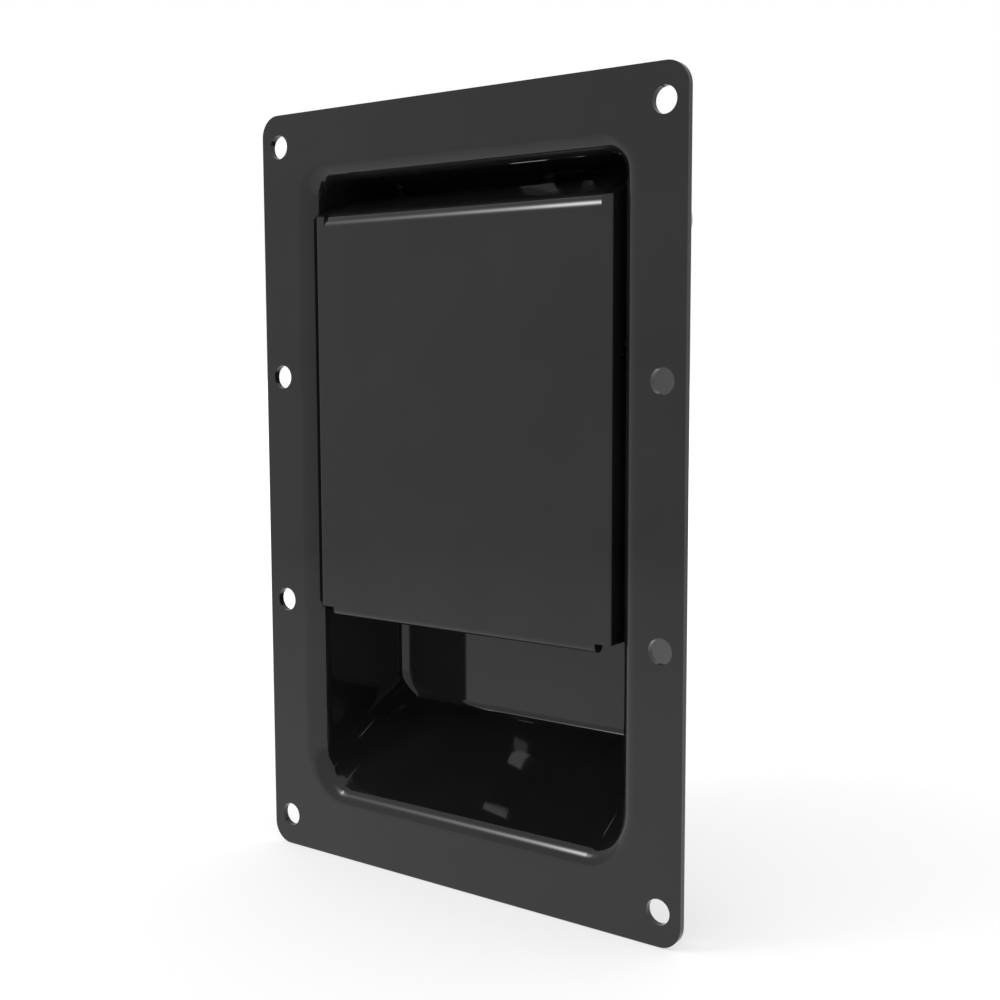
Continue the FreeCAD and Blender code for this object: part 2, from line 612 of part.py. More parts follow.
def draw_flange_with_ear(sketch):
    """Outline of the paddle's side flange with its ear, which is round about the hinge pin."""
    rear = "(side_flange_depth - gauge)"
    crest = "(ear_crest_depth - gauge)"
    corners = [("-gauge", "-side_flange_drop"), (rear, "-side_flange_drop"), (rear, "ear_root"),
               (crest, f"paddle_top + {SLOPE} * ear_crest_depth"), ("-gauge", "paddle_top")]
    spots = [FreeCAD.Vector(value(across), value(up), 0) for across, up in corners]
    centre = FreeCAD.Vector(value(PIN_Y), value("pin_height"), 0)
    radius = value("ear_radius")
    start, low_touch = tangent_spot(spots[2], centre, radius, 1)
    end, high_touch = tangent_spot(spots[3], centre, radius, -1)
    circle = Part.Circle(centre, FreeCAD.Vector(0, 0, 1), radius)
    lines = [(spots[0], spots[1]), (spots[1], spots[2]), (spots[2], low_touch),
             (high_touch, spots[3]), (spots[3], spots[4]), (spots[4], spots[0])]
    for begin, finish in lines:
        sketch.addGeometry(Part.LineSegment(begin, finish), False)
    arc = sketch.addGeometry(Part.ArcOfCircle(circle, start - 2 * math.pi, end), False)
    for here, after in ((0, 1), (1, 2), (3, 4), (4, 5), (5, 0)):
        sketch.addConstraint(Sketcher.Constraint("Coincident", here, 2, after, 1))
    sketch.addConstraint(Sketcher.Constraint("Tangent", 2, 2, arc, 1))
    sketch.addConstraint(Sketcher.Constraint("Tangent", 3, 1, arc, 2))
    for geometry, corner in ((0, 0), (1, 1), (2, 2), (4, 3), (5, 4)):
        hold_point(sketch, geometry, 1, *corners[corner])
    hold_point(sketch, arc, 3, PIN_Y, "pin_height")
    index = sketch.addConstraint(Sketcher.Constraint("Radius", arc, radius))
    bind(sketch, f"Constraints[{index}]", "ear_radius")


def make_paddle():
    """Bent sheet: face with a hemmed foot, sloped top flange, and side flanges with ears."""
    body = new_body("paddle")
    top_rear = "(top_flange_depth - gauge)"
    hem_rear = "(hem_gap + gauge)"
    hem_top = "(hem_height - paddle_drop)"
    section = new_sketch(body, "paddle_section", PLANE_SIDE)
    inner_top = f"paddle_top - {SLOPE_WALL} + {SLOPE}"
    draw_outline(section, [("-gauge", "-paddle_drop"), (hem_rear, "-paddle_drop"),
                           (hem_rear, hem_top), ("hem_gap", hem_top),
                           ("hem_gap", "gauge - paddle_drop"), ("0", "gauge - paddle_drop"),
                           ("0", f"{inner_top} * gauge"),
                           (top_rear, f"{inner_top} * top_flange_depth"),
                           (top_rear, f"paddle_top + {SLOPE} * top_flange_depth"),
                           ("-gauge", "paddle_top")])
    extrude(body, "Pad", "paddle_face", section, "top_flange_width", both=True)
    bends = (("top_bend", "paddle_top_radius", "-gauge", "paddle_top"),
             ("top_bend_inside", "paddle_top_radius - gauge", "0", f"{inner_top} * gauge"),
             ("hem_front", "gauge", "-gauge", "-paddle_drop"),
             ("hem_back", "gauge", hem_rear, "-paddle_drop"))
    for name, radius, y, z in bends:
        round_edges(body, name, radius, lambda edge, y=value(y), z=value(z):
                    lies_along(edge, 0) and near(edge.BoundBox.YMin, y)
                    and near(edge.BoundBox.ZMin, z))
    trim = new_sketch(body, "foot_trim", PLANE_FRONT)
    for sign in ("", "-"):
        draw_outline(trim, box_corners(f"{sign}hem_width / 2", f"{sign}paddle_width / 2",
                                       "-paddle_drop - gauge", "-side_flange_drop"))
    extrude(body, "Pocket", "foot_trim_cut", trim, None, both=True)
    strip = new_sketch(body, "side_strip", PLANE_SIDE, "top_flange_width / 2")
    draw_outline(strip, [("-gauge", "-side_flange_drop"), ("0", "-side_flange_drop"),
                         ("0", f"paddle_top + {SLOPE} * gauge"), ("-gauge", "paddle_top")])
    strip_pad = extrude(body, "Pad", "side_strip_pad", strip,
                        "(paddle_width - top_flange_width) / 2")
    mirror_feature(body, "side_strip_pair", [strip_pad])
    flange = new_sketch(body, "side_flange", PLANE_SIDE, EAR_INSIDE)
    draw_flange_with_ear(flange)
    flange_pad = extrude(body, "Pad", "side_flange_pad", flange, "gauge")
    mirror_feature(body, "side_flange_pair", [flange_pad])
    half_width = value("paddle_width / 2")
    front = -value("gauge")
    round_edges(body, "side_bends", "paddle_side_radius",
                lambda edge: lies_along(edge, 2) and near(abs(edge.BoundBox.XMin), half_width)
                and near(edge.BoundBox.YMin, front))
    ear_inside = value(EAR_INSIDE)
    round_edges(body, "side_bends_inside", "paddle_inner_radius",
                lambda edge: lies_along(edge, 2) and near(abs(edge.BoundBox.XMin), ear_inside)
                and near(edge.BoundBox.YMin, 0))
    crest = value("ear_crest_depth - gauge")
    round_edges(body, "ear_crests", "ear_crest_radius",
                lambda edge: lies_along(edge, 0) and near(edge.BoundBox.YMin, crest)
                and edge.BoundBox.ZMin > 0)
    bores = new_sketch(body, "ear_bores", PLANE_SIDE)
    draw_circle(bores, PIN_Y, "pin_height", EAR_BORE)
    draw_circle(bores, "hook_depth - gauge", "hook_height", "hook_radius")
    extrude(body, "Pocket", "ear_bore_cut", bores, None, both=True)


def make_hinge_bushings():
    """Flanged bushings in the paddle's ears, on the hinge pin."""
    outer = f"({PIN_BORE} + bush_wall)"
    profile = [("-gauge - side_play", PIN_BORE), ("bush_flange_gauge", PIN_BORE),
               ("bush_flange_gauge", "bush_flange_radius"), ("0", "bush_flange_radius"),
               ("0", outer), ("-gauge - side_play", outer)]
    right = turned("hinge_bushing_right", profile)
    place(right, "paddle_width / 2", "pin_depth", "pin_height")
    left = turned("hinge_bushing_left", profile)
    place(left, "-paddle_width / 2", "pin_depth", "pin_height", TO_LEFT)


def make_trip_lever():
    """Strap welded inside the paddle: up its face, back under the pin and down to a nose."""
    body = new_body("trip_lever")
    front = "0"
    strap_rear = "(tail_reach - gauge)"
    side = new_sketch(body, "trip_lever_side", PLANE_SIDE, "tail_left")
    draw_outline(side, [(front, "pad_foot"), ("tail_gauge", "pad_foot"), ("tail_gauge", TAIL_FOOT),
                        (f"{strap_rear} - tail_gauge", TAIL_FOOT),
                        (f"{strap_rear} - tail_gauge", "nose_height"),
                        (strap_rear, "nose_height"), (strap_rear, TAIL_TOP), (front, TAIL_TOP)])
    extrude(body, "Pad", "trip_lever_strap", side, "tail_width")
    gauge_y = value("tail_gauge")
    rear_y = value(strap_rear)
    nose_y = value(f"{strap_rear} - tail_gauge")
    foot_z = value(TAIL_FOOT)
    top_z = value(TAIL_TOP)
    low_z = value("nose_height")
    steps = (("trip_lever_bends", "bend_radius", ((gauge_y, foot_z), (nose_y, foot_z))),
             ("trip_lever_outer_bends", "bend_radius + tail_gauge", ((0.0, top_z), (rear_y, top_z))),
             ("trip_lever_nose", "nose_round", ((nose_y, low_z), (rear_y, low_z))))
    for name, radius, spots in steps:
        round_edges(body, name, radius, lambda edge, spots=spots: lies_along(edge, 0) and any(
            near(edge.BoundBox.YMin, y) and near(edge.BoundBox.ZMin, z) for y, z in spots))
    pad = new_sketch(body, "weld_pad_outline", PLANE_FRONT)
    draw_outline(pad, box_corners(f"{TAIL_MIDDLE} - pad_width / 2", f"{TAIL_MIDDLE} + pad_width / 2",
                                  "pad_foot", "pad_top"))
    extrude(body, "Pad", "weld_pad", pad, "tail_gauge", reverse=True)
    left = value(f"{TAIL_MIDDLE} - pad_width / 2")
    right = value(f"{TAIL_MIDDLE} + pad_width / 2")
    round_edges(body, "weld_pad_corners", "pad_corner", lambda edge: lies_along(edge, 1)
                and (near(edge.BoundBox.XMin, left) or near(edge.BoundBox.XMin, right)))


def bent(before, corner, after, radius):
    """The arc that rounds a wire's corner, and where it starts and ends."""
    back = (before - corner).normalize()
    ahead = (after - corner).normalize()
    half = back.getAngle(ahead) / 2
    start = corner + back * (radius / math.tan(half))
    end = corner + ahead * (radius / math.tan(half))
    middle = corner + (back + ahead).normalize() * (radius / math.sin(half) - radius)
    return start, Part.Arc(start, middle, end).toShape(), end


def make_torsion_springs():
    """Wound springs on the sleeves: one leg hooks in the paddle, one bears on the back wall."""
    wire = value("wire_radius")
    coil = value("coil_radius")
    pitch = value("coil_pitch")
    lean = pitch / (2 * math.pi * coil)
    pin = FreeCAD.Vector(value("pin_depth"), value("pin_height"), 0)
    hook = FreeCAD.Vector(value("hook_depth"), value("hook_height"), 0)
    foot = FreeCAD.Vector(value("pan_depth - wire_radius - stop_gap / 2"), value("spring_foot"), 0)
    start_angle, start_spot = tangent_spot(hook, pin, coil, -1)
    end_angle, end_spot = tangent_spot(foot, pin, coil, 1)
    sweep = (start_angle - end_angle) % (2 * math.pi)
    turns = value("coil_turns") + sweep / (2 * math.pi)
    hook_x = value("paddle_width / 2 - gauge / 3")
    corner_x = value(f"{EAR_INSIDE} - wire_radius - 2 * side_play")
    outer_x = corner_x - lean * (hook - start_spot).Length
    inner_x = outer_x - turns * pitch
    tip_x = inner_x - lean * (foot - end_spot).Length

    def spot(x, point):
        """A point about the pin from its x and its place in the side view."""
        return FreeCAD.Vector(x, point.x - pin.x, point.y - pin.y)

    radial = FreeCAD.Vector(0, math.cos(start_angle), math.sin(start_angle))
    axis = FreeCAD.Vector(-1, 0, 0)
    helix = Part.makeHelix(pitch, turns * pitch, coil)
    turning = FreeCAD.Rotation(radial, axis.cross(radial), axis, "ZXY")
    helix.Placement = FreeCAD.Placement(FreeCAD.Vector(outer_x, 0, 0), turning)
    hook_end = spot(hook_x, hook)
    begin = spot(outer_x, start_spot)
    knee_start, knee, knee_end = bent(hook_end, spot(corner_x, hook), begin, value("knee_radius"))
    path = Part.Wire([Part.makeLine(hook_end, knee_start), knee, Part.makeLine(knee_end, begin),
                      *helix.Edges, Part.makeLine(spot(inner_x, end_spot), spot(tip_x, foot))])
    section = Part.Wire([Part.makeCircle(wire, hook_end, FreeCAD.Vector(1, 0, 0))])
    right_shape = path.makePipeShell([section], True, False)
    left_shape = right_shape.mirror(FreeCAD.Vector(0, 0, 0), FreeCAD.Vector(1, 0, 0))
    for label, shape in (("torsion_spring_right", right_shape), ("torsion_spring_left", left_shape)):
        spring = doc.addObject("Part::Feature", label)
        spring.Label = label
        spring.Shape = shape
        place(spring, "0", "pin_depth", "pin_height")
        nodes.append(spring)


def make_rod_lever():
    """Rocker on the stud: two arms with rod holes, one of them with the roller's hole."""
    body = new_body("rod_lever")
    arm = new_sketch(body, "rod_lever_arms", PLANE_FRONT)
    arm_end = "(rod_pitch + arm_radius)"
    draw_outline(arm, box_corners(f"-{arm_end}", arm_end, "-arm_radius", "arm_radius"))
    extrude(body, "Pad", "rod_lever_bar", arm, "lever_gauge", reverse=True)
    end_x = value(arm_end)
    round_edges(body, "rod_lever_ends", "arm_radius - fit_gap / 2",
                lambda edge: lies_along(edge, 1) and near(abs(edge.BoundBox.XMin), end_x))
    hub = new_sketch(body, "rod_lever_hub", PLANE_FRONT)
    draw_circle(hub, "0", "0", "hub_radius")
    extrude(body, "Pad", "rod_lever_hub_pad", hub, "lever_gauge", reverse=True)
    hub_x = value("sqrt(hub_radius ^ 2 - arm_radius ^ 2)")
    round_edges(body, "rod_lever_waist", "lever_fillet",
                lambda edge: lies_along(edge, 1) and near(abs(edge.BoundBox.XMin), hub_x))
    holes = new_sketch(body, "rod_lever_holes", PLANE_FRONT)
    draw_circle(holes, "0", "0", f"{STUD_BORE} + lever_bush_wall + fit_gap")
    draw_circle(holes, "rod_pitch", "0", "rod_radius")
    draw_circle(holes, "-rod_pitch", "0", "rod_radius")
    draw_circle(holes, "arm_pitch", "0", "roller_pin_radius + fit_gap")
    extrude(body, "Pocket", "rod_lever_hole_cut", holes, None, both=True)
    place(body, STUD_X, LEVER_DEPTH, STUD_Z, ((0, 1, 0), -value(ARM_ANGLE)))


def make_lever_bushing():
    """Flanged bushing between the stud and the rod lever."""
    outer = f"({STUD_BORE} + lever_bush_wall)"
    rear = "lever_gauge + side_play / 2"
    body = turned("lever_bushing", [("-lever_bush_flange", STUD_BORE), (rear, STUD_BORE),
                                    (rear, outer), ("0", outer), ("0", "lever_bush_rim"),
                                    ("-lever_bush_flange", "lever_bush_rim")])
    place(body, STUD_X, LEVER_DEPTH, STUD_Z, TO_REAR)


def make_roller_set():
    """Pin riveted in the lever's arm, and the roller on it that the trip lever pushes."""
    head = "roller_pin_head"
    roller_start = "(lever_gauge + side_play)"
    pin_end = f"({roller_start} + roller_length + side_play)"
    pin = turned("roller_pin", [("-roller_pin_head_gauge", "0"), ("-roller_pin_head_gauge", head),
                                ("0", head), ("0", "roller_pin_radius"),
                                (pin_end, "roller_pin_radius"), (pin_end, head),
                                (f"{pin_end} + roller_pin_head_gauge", head),
                                (f"{pin_end} + roller_pin_head_gauge", "0")])
    place(pin, TAIL_MIDDLE, LEVER_DEPTH, ROLLER_Z, TO_REAR)
    roller = turned("drive_roller", tube_profile("0", "roller_length",
                                                 "roller_pin_radius + running_gap",
                                                 "roller_radius"))
    turned_end(roller, "drive_roller_front_edge", "roller_radius", "0", "groove_depth / 2")
    turned_end(roller, "drive_roller_rear_edge", "roller_radius", "roller_length",
               "groove_depth / 2")
    place(roller, TAIL_MIDDLE, f"{LEVER_DEPTH} + {roller_start}", ROLLER_Z, TO_REAR)


def check_document():
    """Stop on any object that failed, and on a node whose shape is null or not valid."""
    for thing in doc.Objects:
        bad = {"Invalid", "Error"} & set(thing.State)
        if bad:
            raise RuntimeError(f"{thing.Name} is {sorted(bad)}")
    for node in nodes:
        shape = node.Shape
        if shape.isNull() or not shape.isValid():
            raise RuntimeError(f"{node.Label} has no valid shape")


def write_parts():
    """Write each node's shape to its own STEP file."""
    os.makedirs(PARTS_FOLDER, exist_ok=True)
    for node in nodes:
        node.Shape.exportStep(os.path.join(PARTS_FOLDER, f"{node.Label}.step"))
        print(f"{node.Label}: {len(node.Shape.Solids)} solid, {node.Shape.Volume:.1f} mm3")


fill_sheet()
make_mounting_pan()
make_hinge_pin()
make_spring_sleeves()
make_rest_bumper()
make_lever_stud()
make_paddle()
make_hinge_bushings()
make_trip_lever()
make_torsion_springs()
make_rod_lever()
make_lever_bushing()
make_roller_set()
doc.recompute()
check_document()
write_parts()
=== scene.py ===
"""Flush paddle latch: finishes, weld beads, floor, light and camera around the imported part."""

import logging
import math
from dataclasses import dataclass
from enum import Enum
from typing import Any

import bpy
import numpy as np
from mathutils import Matrix, Vector


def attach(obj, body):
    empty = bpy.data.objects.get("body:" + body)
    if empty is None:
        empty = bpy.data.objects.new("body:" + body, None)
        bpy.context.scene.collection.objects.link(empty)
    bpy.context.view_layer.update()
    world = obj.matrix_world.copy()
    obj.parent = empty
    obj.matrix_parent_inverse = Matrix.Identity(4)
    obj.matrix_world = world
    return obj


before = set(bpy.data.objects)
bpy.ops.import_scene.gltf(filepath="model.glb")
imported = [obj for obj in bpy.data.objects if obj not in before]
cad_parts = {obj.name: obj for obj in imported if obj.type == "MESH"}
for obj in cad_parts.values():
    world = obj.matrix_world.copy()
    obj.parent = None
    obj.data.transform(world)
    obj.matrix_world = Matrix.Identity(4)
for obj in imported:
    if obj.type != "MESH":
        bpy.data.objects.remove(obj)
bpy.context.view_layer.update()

LOG = logging.getLogger("paddle_latch")
MM = 0.001
WHITE = (1.0, 1.0, 1.0, 1.0)
Triple = tuple[float, float, float]
Stops = tuple[tuple[float, float], ...]


class Body(Enum):
    """The moving groups of the latch."""

    PAN = "pan_body"
    PADDLE = "paddle_body"
    LEVER = "lever_body"
    ROLLER = "roller_body"


class Slot(Enum):
    """The finishes that the pieces of the latch carry."""

    BLACK_PAINT = "black_paint"
    PIN_STEEL = "pin_steel"
    ZINC_STEEL = "zinc_steel"
    SPRING_STEEL = "spring_steel"
    BUSHING_PLASTIC = "bushing_plastic"
    ROLLER_PLASTIC = "roller_plastic"
    BLACK_RUBBER = "black_rubber"


class Signal:
    """A socket of a material, so that its maths reads as a Python expression."""

    def __init__(self, sheet: "NodeSheet", socket: bpy.types.NodeSocket) -> None:
        """Wraps one output socket of a sheet."""
        self.sheet = sheet
        self.socket = socket

    def _maths(self, operation: str, *terms: "Signal | float") -> "Signal":
        """Adds one Math node.

        Args:
            operation: the Math node's operation.
            terms: its inputs in order, each a signal or a number.

        Returns:
            The node's result.
        """
        return self.sheet.node("ShaderNodeMath", {"operation": operation}, dict(enumerate(terms)))

    def __add__(self, other: "Signal | float") -> "Signal":
        """Sum."""
        return self._maths("ADD", self, other)

    __radd__ = __add__

    def __sub__(self, other: "Signal | float") -> "Signal":
        """Difference."""
        return self._maths("SUBTRACT", self, other)

    def __rsub__(self, other: float) -> "Signal":
        """A number minus the signal."""
        return self._maths("SUBTRACT", other, self)

    def __mul__(self, other: "Signal | float") -> "Signal":
        """Product."""
        return self._maths("MULTIPLY", self, other)

    __rmul__ = __mul__

    def unsigned(self) -> "Signal":
        """The signal without its sign."""
        return self._maths("ABSOLUTE", self)

    def squeezed(self, low: float, high: float) -> "Signal":
        """The signal, spread so that low becomes 0 and high becomes 1, and held there.

        Args:
            low: value that becomes 0.
            high: value that becomes 1.

        Returns:
            The spread signal.
        """
        spread = (self - low) * (1.0 / (high - low))
        return spread._maths("MINIMUM", spread._maths("MAXIMUM", spread, 0.0), 1.0)


class NodeSheet:
    """The node tree of one material."""

    def __init__(self, name: str) -> None:
        """Starts an empty material of that name."""
        self.material = bpy.data.materials.new(name)
        self.material.use_nodes = True
        self.tree = self.material.node_tree
        self.tree.nodes.clear()

    def add(self, kind: str, settings: dict[str, Any], sockets: dict[Any, Any]) -> bpy.types.Node:
        """Adds a node, sets it up and feeds it.

        Args:
            kind: the node's type.
            settings: its own settings, such as an operation; stops are a ramp's pairs of place and grey.
            sockets: the values or signals of its inputs, by name or number.

        Returns:
            The node.
        """
        made = self.tree.nodes.new(kind)
        for name, setting in settings.items():
            if name == "stops":
                self._set_stops(made.color_ramp, setting)
            else:
                setattr(made, name, setting)
        for name, given in sockets.items():
            if isinstance(given, Signal):
                self.tree.links.new(given.socket, made.inputs[name])
            else:
                made.inputs[name].default_value = given
        return made

    def node(self, kind: str, settings: dict[str, Any], sockets: dict[Any, Any],
             output: Any = 0) -> Signal:
        """Adds a node and gives one of its outputs, by name or number."""
        return Signal(self, self.add(kind, settings, sockets).outputs[output])

    def close(self, shader: Signal) -> bpy.types.Material:
        """Joins a shader to the material's output and gives the material."""
        self.add("ShaderNodeOutputMaterial", {}, {"Surface": shader})
        return self.material

    @staticmethod
    def _set_stops(ramp: bpy.types.ColorRamp, stops: Stops) -> None:
        """Gives a ramp its grey stops."""
        while len(ramp.elements) < len(stops):
            ramp.elements.new(1.0)
        for element, (place, grey) in zip(ramp.elements, stops):
            element.position = place
            element.color = (grey, grey, grey, 1.0)

    def place(self) -> Signal:
        """The point of the object, in metres."""
        return self.node("ShaderNodeTexCoord", {}, {}, "Object")

    def noise(self, size_mm: float, detail: float = 2.0) -> Signal:
        """Cloudy noise of a real grain size.

        Args:
            size_mm: width of one grain.
            detail: octaves of finer grain.

        Returns:
            A signal around one half.
        """
        spread = self.node("ShaderNodeVectorMath", {"operation": "MULTIPLY"},
                           {0: self.place(), 1: (1.0 / (size_mm * MM),) * 3})
        return self.node("ShaderNodeTexNoise", {}, {"Vector": spread, "Scale": 1.0, "Detail": detail})

    def tint(self, share: Signal, low: Triple, high: Triple) -> Signal:
        """Blends two colours.

        Args:
            share: 0 for the first colour, 1 for the second.
            low: first colour.
            high: second colour.

        Returns:
            The blended colour.
        """
        mix = self.tree.nodes.new("ShaderNodeMix")
        mix.data_type = "RGBA"
        self.tree.links.new(share.socket, mix.inputs[0])
        mix.inputs[6].default_value = (*low, 1.0)
        mix.inputs[7].default_value = (*high, 1.0)
        return Signal(self, mix.outputs[2])

    def bump(self, height: Signal, depth_mm: float) -> Signal:
        """Turns a height from 0 to 1 into a surface relief of that depth."""
        return self.node("ShaderNodeBump", {},
                         {"Height": height, "Distance": depth_mm * MM, "Strength": 1.0})

    def surface(self, sockets: dict[str, Any]) -> bpy.types.Material:
        """Closes the sheet with one Principled surface.

        Args:
            sockets: the surface's inputs.

        Returns:
            The finished material.
        """
        return self.close(self.node("ShaderNodeBsdfPrincipled", {}, sockets))


@dataclass(frozen=True)
class GlossPaint:
    """Glossy black powder coat: very dark, sharp reflections with a faint orange-peel ripple."""

    dark: Triple = (0.0070, 0.0070, 0.0072)
    pale: Triple = (0.0092, 0.0092, 0.0094)
    cloud_mm: float = 28.0
    fine_mm: float = 0.6
    peel_mm: float = 2.4
    peel_depth_mm: float = 0.0009
    gloss: float = 0.035
    haze: float = 0.025

    def material(self) -> bpy.types.Material:
        """The coat: colour clouds, a ripple of the surface and a slightly uneven gloss."""
        sheet = NodeSheet(Slot.BLACK_PAINT.value)
        cloud = sheet.noise(self.cloud_mm, 3.0).squeezed(0.35, 0.65)
        peel = sheet.noise(self.peel_mm, 1.0)
        fine = sheet.noise(self.fine_mm).squeezed(0.3, 0.7)
        return sheet.surface({
            "Base Color": sheet.tint(cloud, self.dark, self.pale),
            "Roughness": self.gloss + self.haze * cloud * fine,
            "Normal": sheet.bump(peel, self.peel_depth_mm),
            "IOR": 1.5,
        })


@dataclass(frozen=True)
class BareMetal:
    """A plated or turned metal with patches of tone and fine marks."""

    slot: Slot
    dull: Triple
    bright: Triple
    marks_mm: float
    marks_depth_mm: float
    smooth: float
    rough: float
    patch_mm: float = 6.0

    def material(self) -> bpy.types.Material:
        """The metal: patches of tone and fine marks that also change the gloss."""
        sheet = NodeSheet(self.slot.value)
        patch = sheet.noise(self.patch_mm, 4.0).squeezed(0.35, 0.7)
        marks = sheet.noise(self.marks_mm, 3.0)
        return sheet.surface({
            "Base Color": sheet.tint(patch, self.dull, self.bright),
            "Metallic": 1.0,
            "Roughness": self.smooth + (self.rough - self.smooth) * marks.squeezed(0.3, 0.7),
            "Normal": sheet.bump(marks, self.marks_depth_mm),
        })


@dataclass(frozen=True)
class Moulding:
    """A moulded plastic or rubber with a fine die texture."""

    slot: Slot
    dark: Triple
    pale: Triple
    grain_mm: float
    grain_depth_mm: float
    gloss: float
    haze: float
    cloud_mm: float = 5.0

    def material(self) -> bpy.types.Material:
        """The moulding: a slightly cloudy colour and a fine grain."""
        sheet = NodeSheet(self.slot.value)
        cloud = sheet.noise(self.cloud_mm).squeezed(0.35, 0.65)
        grain = sheet.noise(self.grain_mm)
        return sheet.surface({
            "Base Color": sheet.tint(cloud, self.dark, self.pale),
            "Roughness": self.gloss + self.haze * grain.squeezed(0.3, 0.7),
            "Normal": sheet.bump(grain, self.grain_depth_mm),
        })


def make_finishes() -> dict[Slot, bpy.types.Material]:
    """Builds every finish once.

    Returns:
        The material of each slot.
    """
    coats = (
        BareMetal(Slot.PIN_STEEL, (0.56, 0.56, 0.57), (0.70, 0.70, 0.70), 0.25, 0.004, 0.14, 0.30),
        BareMetal(Slot.ZINC_STEEL, (0.46, 0.48, 0.50), (0.62, 0.63, 0.62), 0.5, 0.006, 0.26, 0.44),
        BareMetal(Slot.SPRING_STEEL, (0.20, 0.20, 0.21), (0.34, 0.34, 0.34), 0.3, 0.004, 0.26, 0.42),
        Moulding(Slot.BUSHING_PLASTIC, (0.50, 0.49, 0.45), (0.58, 0.57, 0.53), 0.5, 0.004, 0.38, 0.14),
        Moulding(Slot.ROLLER_PLASTIC, (0.020, 0.020, 0.021), (0.034, 0.034, 0.035), 0.5, 0.004, 0.34, 0.16),
        Moulding(Slot.BLACK_RUBBER, (0.012, 0.012, 0.012), (0.024, 0.024, 0.024), 0.4, 0.012, 0.62, 0.22),
    )
    finishes = {coat.slot: coat.material() for coat in coats}
    finishes[Slot.BLACK_PAINT] = GlossPaint().material()
    return finishes


class SubAssembly:
    """Pieces of the latch that share a body."""

    body: Body
    finish_of: dict[str, Slot]

    def dress(self, finishes: dict[Slot, bpy.types.Material]) -> None:
        """Gives each CAD piece its finish.

        Args:
            finishes: the material of each slot.
        """
        for name, slot in self.finish_of.items():
            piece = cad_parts[name]
            for place in piece.material_slots:
                place.material = finishes[slot]
            LOG.info("%s of %s: %s", name, self.body.value, slot.value)


@dataclass
class PanAssembly(SubAssembly):
    """The pan with its hinge pin, spring sleeves, rest bumper and lever stud."""

    body: Body = Body.PAN

    def __post_init__(self) -> None:
        """Names the finish of each piece."""
        self.finish_of = {
            "mounting_pan": Slot.BLACK_PAINT,
            "hinge_pin": Slot.PIN_STEEL,
            "pin_washer": Slot.ZINC_STEEL,
            "pin_clip": Slot.SPRING_STEEL,
            "spring_sleeve_left": Slot.BUSHING_PLASTIC,
            "spring_sleeve_right": Slot.BUSHING_PLASTIC,
            "rest_bumper": Slot.BLACK_RUBBER,
            "lever_stud": Slot.PIN_STEEL,
            "lever_washer": Slot.ZINC_STEEL,
            "lever_clip": Slot.SPRING_STEEL,
        }


@dataclass
class PaddleAssembly(SubAssembly):
    """The paddle with its bushings, springs and trip lever, and the weld that joins that lever to it."""

    body: Body = Body.PADDLE
    bead_leg: float = 1.7 * MM
    bead_length: float = 13.0 * MM
    bead_pitch: float = 1.5 * MM
    bead_ripple: float = 0.16
    bead_squash: float = 0.8
    bead_sink: float = 0.2 * MM
    bead_rings: int = 73
    bead_sides: int = 12
    pad_left: float = -2.2 * MM
    pad_right: float = 17.8 * MM
    pad_middle: float = 55.0 * MM
    pad_seat: float = 0.0

    def __post_init__(self) -> None:
        """Names the finish of each piece."""
        self.finish_of = {
            "paddle": Slot.BLACK_PAINT,
            "hinge_bushing_left": Slot.BUSHING_PLASTIC,
            "hinge_bushing_right": Slot.BUSHING_PLASTIC,
            "trip_lever": Slot.ZINC_STEEL,
            "torsion_spring_left": Slot.SPRING_STEEL,
            "torsion_spring_right": Slot.SPRING_STEEL,
        }

    def _bead(self, name: str, edge: float, side: int) -> bpy.types.Object:
        """A fillet weld along one edge of the trip lever's pad.

        A point at share t along the bead and angle a round it lies at the corner line plus
        a radius times (cos a, sin a), where the radius is the leg, times a ripple that rises
        and falls once a pitch, times a taper that closes both ends as the root of 1 - (2t - 1)^6,
        times the squash. It goes into the lever and the paddle by the sink alone.

        Args:
            name: the piece's name.
            edge: x of the pad's edge.
            side: -1 on the left edge, 1 on the right edge.

        Returns:
            The bead.
        """
        shares = np.linspace(0.0, 1.0, self.bead_rings)
        angles = np.linspace(0.0, 2.0 * math.pi, self.bead_sides, endpoint=False)
        share, angle = np.meshgrid(shares, angles, indexing="ij")
        taper = np.sqrt(np.clip(1.0 - np.abs(2.0 * share - 1.0) ** 6, 0.0, 1.0))
        wave = np.abs(np.sin(math.pi * share * self.bead_length / self.bead_pitch))
        radius = self.bead_leg * (1.0 + self.bead_ripple * (wave - 0.5)) * taper * self.bead_squash
        x = edge + side * np.maximum(radius * np.cos(angle), -self.bead_sink)
        y = self.pad_seat + np.maximum(radius * np.sin(angle), -self.bead_sink)
        z = self.pad_middle + (share - 0.5) * self.bead_length
        return surface_piece(name, np.stack([x, y, z], axis=-1), flip=side > 0)

    def weld(self, finishes: dict[Slot, bpy.types.Material]) -> None:
        """Lays the two beads.

        Args:
            finishes: the material of each slot.
        """
        beads = (("weld_bead_left", self.pad_left, -1), ("weld_bead_right", self.pad_right, 1))
        for name, edge, side in beads:
            bead = self._bead(name, edge, side)
            bead.data.materials.append(finishes[Slot.BLACK_PAINT])
            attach(bead, self.body.value)
            LOG.info("%s", name)


@dataclass
class RodLeverAssembly(SubAssembly):
    """The rocking lever that the latch rods hook into, with its bushing and roller pin."""

    body: Body = Body.LEVER

    def __post_init__(self) -> None:
        """Names the finish of each piece."""
        self.finish_of = {
            "rod_lever": Slot.ZINC_STEEL,
            "lever_bushing": Slot.BUSHING_PLASTIC,
            "roller_pin": Slot.PIN_STEEL,
        }


@dataclass
class DriveRoller(SubAssembly):
    """The roller that the trip lever presses on."""

    body: Body = Body.ROLLER

    def __post_init__(self) -> None:
        """Names the finish of the piece."""
        self.finish_of = {"drive_roller": Slot.ROLLER_PLASTIC}


